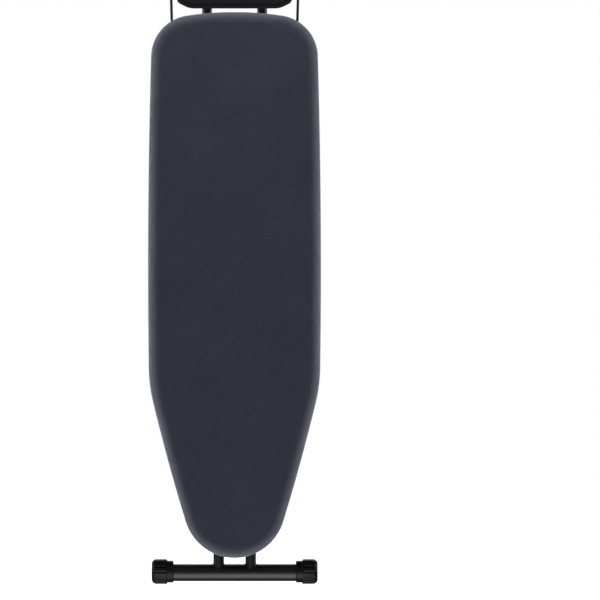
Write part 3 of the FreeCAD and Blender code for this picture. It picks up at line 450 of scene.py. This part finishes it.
def make_cover():
    """Fitted cover: one cloth stretched over the pad, rolled round the rim and gathered behind it."""
    section = cover_profile()
    walked = [0.0]
    for a, b in zip(section, section[1:]):
        walked.append(walked[-1] + math.hypot(b[0] - a[0], b[1] - a[1]))
    swell_from, swell_blend = 8 * MM, 30 * MM
    rows, cuts = [], []
    for (inset, depth), length in zip(section, walked):
        behind = depth > THICKNESS / 2
        row = []
        for i, p in enumerate(ring(inset)):
            settle = min(max((inset - swell_from) / swell_blend, 0), 1)
            move = pleat(i, inset, p) if behind else soft_swell(p.x, p.y) * settle
            row.append((p.x, FRONT + depth + move, p.y))
        rows.append(row)
        flat_inset = section[-1][0] - (walked[-1] - length)
        cuts.append(ring(flat_inset))
    inner = ring(section[-1][0])
    steps = 9
    for k in range(1, steps + 1):
        places = towards_spine(inner, k / steps)
        rows.append([(q.x, FRONT + soft_swell(q.x, q.y), q.y) for q in places])
        cuts.append(places)
    piece = add_piece("fitted_cover", grid_mesh("fitted_cover", rows, cuts), "deck", "cover_fabric",
                      replaces=("board_cover",))
    cloth = piece.modifiers.new("cloth_thickness", "SOLIDIFY")
    cloth.thickness = CLOTH
    cloth.offset = -1
    casing, stitches = make_hem(section[0][0])


def hem_point(i, inset, proud):
    """A place on the hem at a ring's point, standing proud of the gathered cloth."""
    p = ring_at(i, inset)
    return Vector((p.x, BACK + pleat(i, inset, p) + proud * clear_of_rest_tubes(p.x, p.y), p.y))


def make_hem(inset):
    """The casing sewn along the hem's free edge, and its two rows of stitches."""
    width, height, around = 9 * MM, 1.6 * MM, 10
    rows = []
    for k in range(around + 1):
        angle = 2 * math.pi * k / around
        across = inset - width / 2 + math.cos(angle) * width / 2
        proud = height * (0.5 + 0.5 * math.sin(angle))
        rows.append([hem_point(i, across, proud) for i in range(RING_COUNT)])
    casing = add_piece("hem_casing", grid_mesh("hem_casing", rows), "deck", "cover_fabric")
    mesh = bmesh.new()
    stitch_every, thread_radius, proud = 2, 0.4 * MM, 0.1 * MM
    for seam in (inset - width - 1.2 * MM, inset - width - 3.4 * MM):
        for i in range(0, RING_COUNT, stitch_every):
            a = hem_point(i, seam, proud)
            b = hem_point((i + 1) % RING_COUNT, seam, proud)
            add_stitch(mesh, a, b, thread_radius)
    data = bpy.data.meshes.new("hem_stitches")
    mesh.to_mesh(data)
    mesh.free()
    stitches = add_piece("hem_stitches", data, "deck", "cover_fabric")
    stitches.data.materials.clear()
    stitches.data.materials.append(THREAD)
    return casing, stitches


def add_stitch(mesh, a, b, radius):
    """One sewn thread: a short bar that dips into the cloth at both ends."""
    along = (b - a).normalized()
    side = along.cross(Vector((0, 1, 0))).normalized() * radius
    lift = Vector((0, radius, 0))
    loops = []
    for share, rise in ((0, -1.0), (0.2, 0.6), (0.8, 0.6), (1, -1.0)):
        centre = a.lerp(b, share) + lift * rise
        loops.append([mesh.verts.new(centre + offset) for offset in (side, lift, -side, -lift)])
    for near, far in zip(loops, loops[1:]):
        for k in range(4):
            mesh.faces.new((near[k], near[(k + 1) % 4], far[(k + 1) % 4], far[k]))
    mesh.faces.new(loops[0])
    mesh.faces.new(loops[-1][::-1])


def swell_cloth(piece, pressure, cap, frames=20):
    """Cloth simulation under inner pressure, with every point's movement capped; leaves a plain mesh."""
    start = [v.co.copy() for v in piece.data.vertices]
    cloth = piece.modifiers.new("swell", "CLOTH")
    cloth.settings.use_pressure = True
    cloth.settings.uniform_pressure_force = pressure
    cloth.settings.effector_weights.gravity = 0
    cloth.settings.mass = 0.4
    cloth.settings.tension_stiffness = 20
    cloth.settings.compression_stiffness = 20
    cloth.collision_settings.use_collision = False
    scene = bpy.context.scene
    for number in range(1, frames + 1):
        scene.frame_set(number)
    shaped = piece.evaluated_get(bpy.context.evaluated_depsgraph_get())
    places = [v.co.copy() for v in shaped.data.vertices]
    piece.modifiers.remove(cloth)
    scene.frame_set(1)
    for vertex, origin, place in zip(piece.data.vertices, start, places):
        move = place - origin
        if move.length > cap:
            move *= cap / move.length
        vertex.co = origin + move


def make_pad():
    """Felt pad: lies on the panel, thinned at its edges where the cover draws it down over the rim."""
    pad_back = PANEL_LOW.y - 0.3 * MM
    gap = CLOTH + 1.2 * MM
    thin_edge, edge_bulge, bands = 7 * MM, 0.8 * MM, 8
    insets = [thin_edge + (CROWN_REACH - thin_edge) * (k / bands) for k in range(bands + 1)]
    inner = ring(insets[-1], 2)
    steps = 9
    rows = []
    for k in range(steps, 0, -1):
        rows.append([(q.x, FRONT + gap, q.y) for q in towards_spine(inner, k / steps)])
    for inset in reversed(insets):
        y = min(FRONT + crown_depth(inset) + gap, pad_back - MM)
        rows.append([(p.x, y, p.y) for p in ring(inset, 2)])
    rows.append([(p.x, pad_back - MM / 2, p.y) for p in ring(thin_edge - edge_bulge, 2)])
    for inset in insets:
        rows.append([(p.x, pad_back, p.y) for p in ring(inset, 2)])
    for k in range(1, steps + 1):
        rows.append([(q.x, pad_back, q.y) for q in towards_spine(inner, k / steps)])
    piece = add_piece("felt_pad", grid_mesh("felt_pad", rows), "deck", "pad_felt", replaces=("board_pad",))
    swell_cloth(piece, pressure=4, cap=0.6 * MM)
    smooth = piece.modifiers.new("subdivision", "SUBSURF")
    smooth.levels = smooth.render_levels = 1


def inside(point, border):
    """Whether a point lies inside a closed outline."""
    hits = False
    for a, b in zip(border, border[1:] + border[:1]):
        if (a.y > point.y) != (b.y > point.y):
            if point.x < a.x + (b.x - a.x) * (point.y - a.y) / (b.y - a.y):
                hits = not hits
    return hits


def make_panel():
    """Expanded-steel panel: a net of stretched diamonds welded to a flat border that sits on the rim."""
    long_way, short_way, strand, sheet_thickness = 24 * MM, 11 * MM, 1.7 * MM, 0.9 * MM
    middle_y = PANEL_LOW.y + (PANEL_HIGH.y - PANEL_LOW.y) / 2
    weld_line = ring(5 * MM, 2)
    mesh = bmesh.new()
    corners = {}

    def place_of(column, line):
        return Vector((column * long_way / 2, PANEL_LOW.z + line * short_way / 2))

    def corner(column, line):
        if (column, line) not in corners:
            place = place_of(column, line)
            if not inside(place, weld_line):
                place = min(weld_line, key=lambda p: (p - place).length)
            corners[column, line] = mesh.verts.new((place.x, middle_y, place.y))
        return corners[column, line]

    columns = int((PANEL_HIGH.x - PANEL_LOW.x) / long_way) + 2
    lines = int((PANEL_HIGH.z - PANEL_LOW.z) / short_way * 2) + 2
    for line in range(lines):
        for column in range(-columns, columns + 1):
            if (line + column) % 2 == 0 and inside(place_of(column, line), weld_line):
                around = ((column + 1, line), (column, line + 1), (column - 1, line), (column, line - 1))
                mesh.faces.new([corner(*place) for place in around])
    bmesh.ops.remove_doubles(mesh, verts=mesh.verts, dist=0.5 * MM)
    bmesh.ops.inset_individual(mesh, faces=mesh.faces[:], thickness=strand / 2)
    smallest_opening = 0.4 * long_way * short_way / 2
    openings = [f for f in mesh.faces if len(f.verts) == 4 and f.calc_area() > smallest_opening]
    bmesh.ops.delete(mesh, geom=openings, context="FACES")
    data = bpy.data.meshes.new("deck_net")
    mesh.to_mesh(data)
    mesh.free()
    net = add_piece("deck_net", data, "deck", "deck_steel", replaces=("deck_panel",))
    sheet = net.modifiers.new("sheet", "SOLIDIFY")
    sheet.thickness = sheet_thickness
    sheet.offset = 0
    for polygon in data.polygons:
        polygon.use_smooth = False

    outer, inner = 3.2 * MM, 15 * MM
    front, back = PANEL_LOW.y, PANEL_HIGH.y
    section = ((outer, front), (inner, front), (inner, back), (outer, back), (outer, front))
    rows = [[(p.x, y, p.y) for p in ring(inset)] for inset, y in section]
    edge = add_piece("deck_net_border", grid_mesh("deck_net_border", rows), "deck", "deck_steel")
    for polygon in edge.data.polygons:
        polygon.use_smooth = False


def weld_bead(mesh, leg_x, leg_y, leg_radius, foot_y, foot_z, foot_radius, upwards):
    """A ripple of weld along the line where an upright tube meets a foot tube."""
    around, section_points, bead = 96, 8, 1.5 * MM
    loops = []
    for k in range(around):
        angle = 2 * math.pi * k / around
        x = leg_x + leg_radius * math.cos(angle)
        y = leg_y + leg_radius * math.sin(angle)
        rise = math.sqrt(max(foot_radius**2 - (y - foot_y) ** 2, 0))
        centre = Vector((x, y, foot_z + upwards * rise))
        out = Vector((math.cos(angle), math.sin(angle), 0))
        up = Vector((0, (y - foot_y) / foot_radius, upwards * rise / foot_radius))
        ripple = bead * (1 + 0.16 * math.sin(k * 2.1) + 0.1 * noise.noise(centre * 400))
        turns = [2 * math.pi * step / section_points for step in range(section_points)]
        loops.append([
            mesh.verts.new(centre + (out * math.cos(turn) + up * math.sin(turn)) * ripple) for turn in turns
        ])
    for k in range(around):
        near, far = loops[k], loops[(k + 1) % around]
        for step in range(section_points):
            after = (step + 1) % section_points
            mesh.faces.new((near[step], near[after], far[after], far[step]))


def make_welds():
    """The welds that hold each pair of legs to its foot."""
    for body, leg, foot, upwards in (
        ("inner_legs", "inner_leg_tube_right", "nose_foot_tube", 1),
        ("outer_legs", "outer_leg_tube_right", "heel_foot_tube", -1),
    ):
        leg_low, leg_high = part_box(leg)
        foot_low, foot_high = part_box(foot)
        leg_middle, foot_middle = (leg_low + leg_high) / 2, (foot_low + foot_high) / 2
        leg_radius = (leg_high.x - leg_low.x) / 2
        foot_radius = (foot_high.z - foot_low.z) / 2
        mesh = bmesh.new()
        for side in (-1, 1):
            weld_bead(mesh, side * leg_middle.x, leg_middle.y, leg_radius,
                      foot_middle.y, foot_middle.z, foot_radius, upwards)
        bmesh.ops.recalc_face_normals(mesh, faces=mesh.faces)
        data = bpy.data.meshes.new(foot + "_welds")
        mesh.to_mesh(data)
        mesh.free()
        add_piece(foot + "_welds", data, body, "leg_black")


# --- studio ------------------------------------------------------------------------------------------------

def hang_light(light, direction):
    """Put a light in the scene, shining in a direction."""
    holder = bpy.data.objects.new(light.name, light)
    bpy.context.scene.collection.objects.link(holder)
    holder.rotation_euler = Vector(direction).to_track_quat("-Z", "Y").to_euler()
    return holder


def area_light(name, place, aim, size, power):
    """A softbox that lights the object but isn't itself seen."""
    light = bpy.data.lights.new(name, "AREA")
    light.shape = "RECTANGLE"
    light.size, light.size_y = size
    light.energy = power
    holder = hang_light(light, Vector(aim) - Vector(place))
    holder.location = place
    holder.visible_camera = False
    return holder


def make_floor():
    """A pale glowing table top; the light from under the table passes through it to the object."""
    reach = 6.0
    corners = [(-reach, -reach, 0), (reach, -reach, 0), (reach, reach, 0), (-reach, reach, 0)]
    mesh = bpy.data.meshes.new("floor")
    mesh.from_pydata(corners, [], [(0, 1, 2, 3)])
    floor = bpy.data.objects.new("floor", mesh)
    bpy.context.scene.collection.objects.link(floor)
    paint = Paint("pale_floor", Roughness=0.9)
    paint.shader.inputs["Emission Color"].default_value = (1, 1, 1, 1)
    paint.shader.inputs["Emission Strength"].default_value = 0.96
    paint.colour(paint.mix(paint.noise(0.6, 2), (0.60, 0.60, 0.60, 1), (0.62, 0.62, 0.62, 1)))
    mesh.materials.append(paint.material)
    floor.visible_shadow = False
    floor.visible_diffuse = False
    floor.visible_glossy = False


def light_from_below():
    """Broad soft light that comes up through the table in front of the board."""
    light = bpy.data.lights.new("under_table", "SUN")
    light.energy = 3.2
    light.angle = math.radians(60)
    hang_light(light, direction=(0.15, 0.68, 0.73))


def light_the_rim():
    """Narrow softboxes in the board's own plane, screened so that they reach only the cover's rounded rim."""
    screened = bpy.data.collections.new("reached_by_rim_lights")
    screened.objects.link(bpy.data.objects["fitted_cover"])
    middle = 0.7
    flank_plane, heel_plane, nose_plane = FRONT + 0.05, FRONT - 0.03, FRONT - 0.01
    for name, place, aim, size, power in (
        ("rim_left", (-1.1, flank_plane, middle), (0, flank_plane, middle), (0.1, 1.5), 46),
        ("rim_right", (1.1, flank_plane, middle), (0, flank_plane, middle), (0.1, 1.5), 46),
        ("rim_heel", (0, heel_plane, 2.0), (0, heel_plane, middle), (0.6, 0.1), 25),
        ("rim_nose", (0, nose_plane, -0.8), (0, nose_plane, middle), (0.6, 0.1), 24),
    ):
        softbox = area_light(name, place, aim, size, power)
        softbox.data.color = (1.0, 0.99, 0.82)
        softbox.light_linking.receiver_collection = screened


def make_world():
    """A white backdrop for the camera and a dim room for everything else."""
    world = bpy.data.worlds.new("studio")
    bpy.context.scene.world = world
    world.use_nodes = True
    tree = world.node_tree
    seen = tree.nodes["Background"]
    seen.inputs["Color"].default_value = (1, 1, 1, 1)
    seen.inputs["Strength"].default_value = 1.0
    room = tree.nodes.new("ShaderNodeBackground")
    room.inputs["Color"].default_value = (1, 1, 1, 1)
    room.inputs["Strength"].default_value = 0.10
    choose = tree.nodes.new("ShaderNodeMixShader")
    tree.links.new(tree.nodes.new("ShaderNodeLightPath").outputs["Is Camera Ray"], choose.inputs[0])
    tree.links.new(room.outputs[0], choose.inputs[1])
    tree.links.new(seen.outputs[0], choose.inputs[2])
    tree.links.new(choose.outputs[0], tree.nodes["World Output"].inputs["Surface"])


def make_studio():
    make_floor()
    make_world()
    light_from_below()
    light_the_rim()
    area_light("front_left", (-1.6, -3.0, 3.0), (0, 0, 1.1), (1.2, 1.2), 10)
    area_light("back", (0, 3.2, 1.8), (0, 0, 0.7), (3.0, 2.0), 70)
    for side in (-1, 1):
        area_light(f"flank_{side}", (side * 4, 0.6, 1.6), (0, 0, 0.8), (2.0, 2.0), 70)
    bpy.context.scene.view_settings.view_transform = "Standard"


def make_camera():
    """Level and square to the cover, a long way off, framed as wide as the photograph."""
    data = bpy.data.cameras.new("camera")
    view_width = 1.3176
    distance = 15.0
    data.sensor_width = 36.0
    data.lens = data.sensor_width * distance / view_width
    data.clip_end = 200
    camera = bpy.data.objects.new("camera", data)
    bpy.context.scene.collection.objects.link(camera)
    aim_x, aim_z = 0.144, 0.626
    camera.location = (aim_x, FRONT - distance, aim_z)
    camera.rotation_euler = (math.pi / 2, 0, 0)
    bpy.context.scene.camera = camera


make_camera()
dress_cad_nodes()
make_pad()
make_panel()
make_cover()
make_welds()
make_studio()
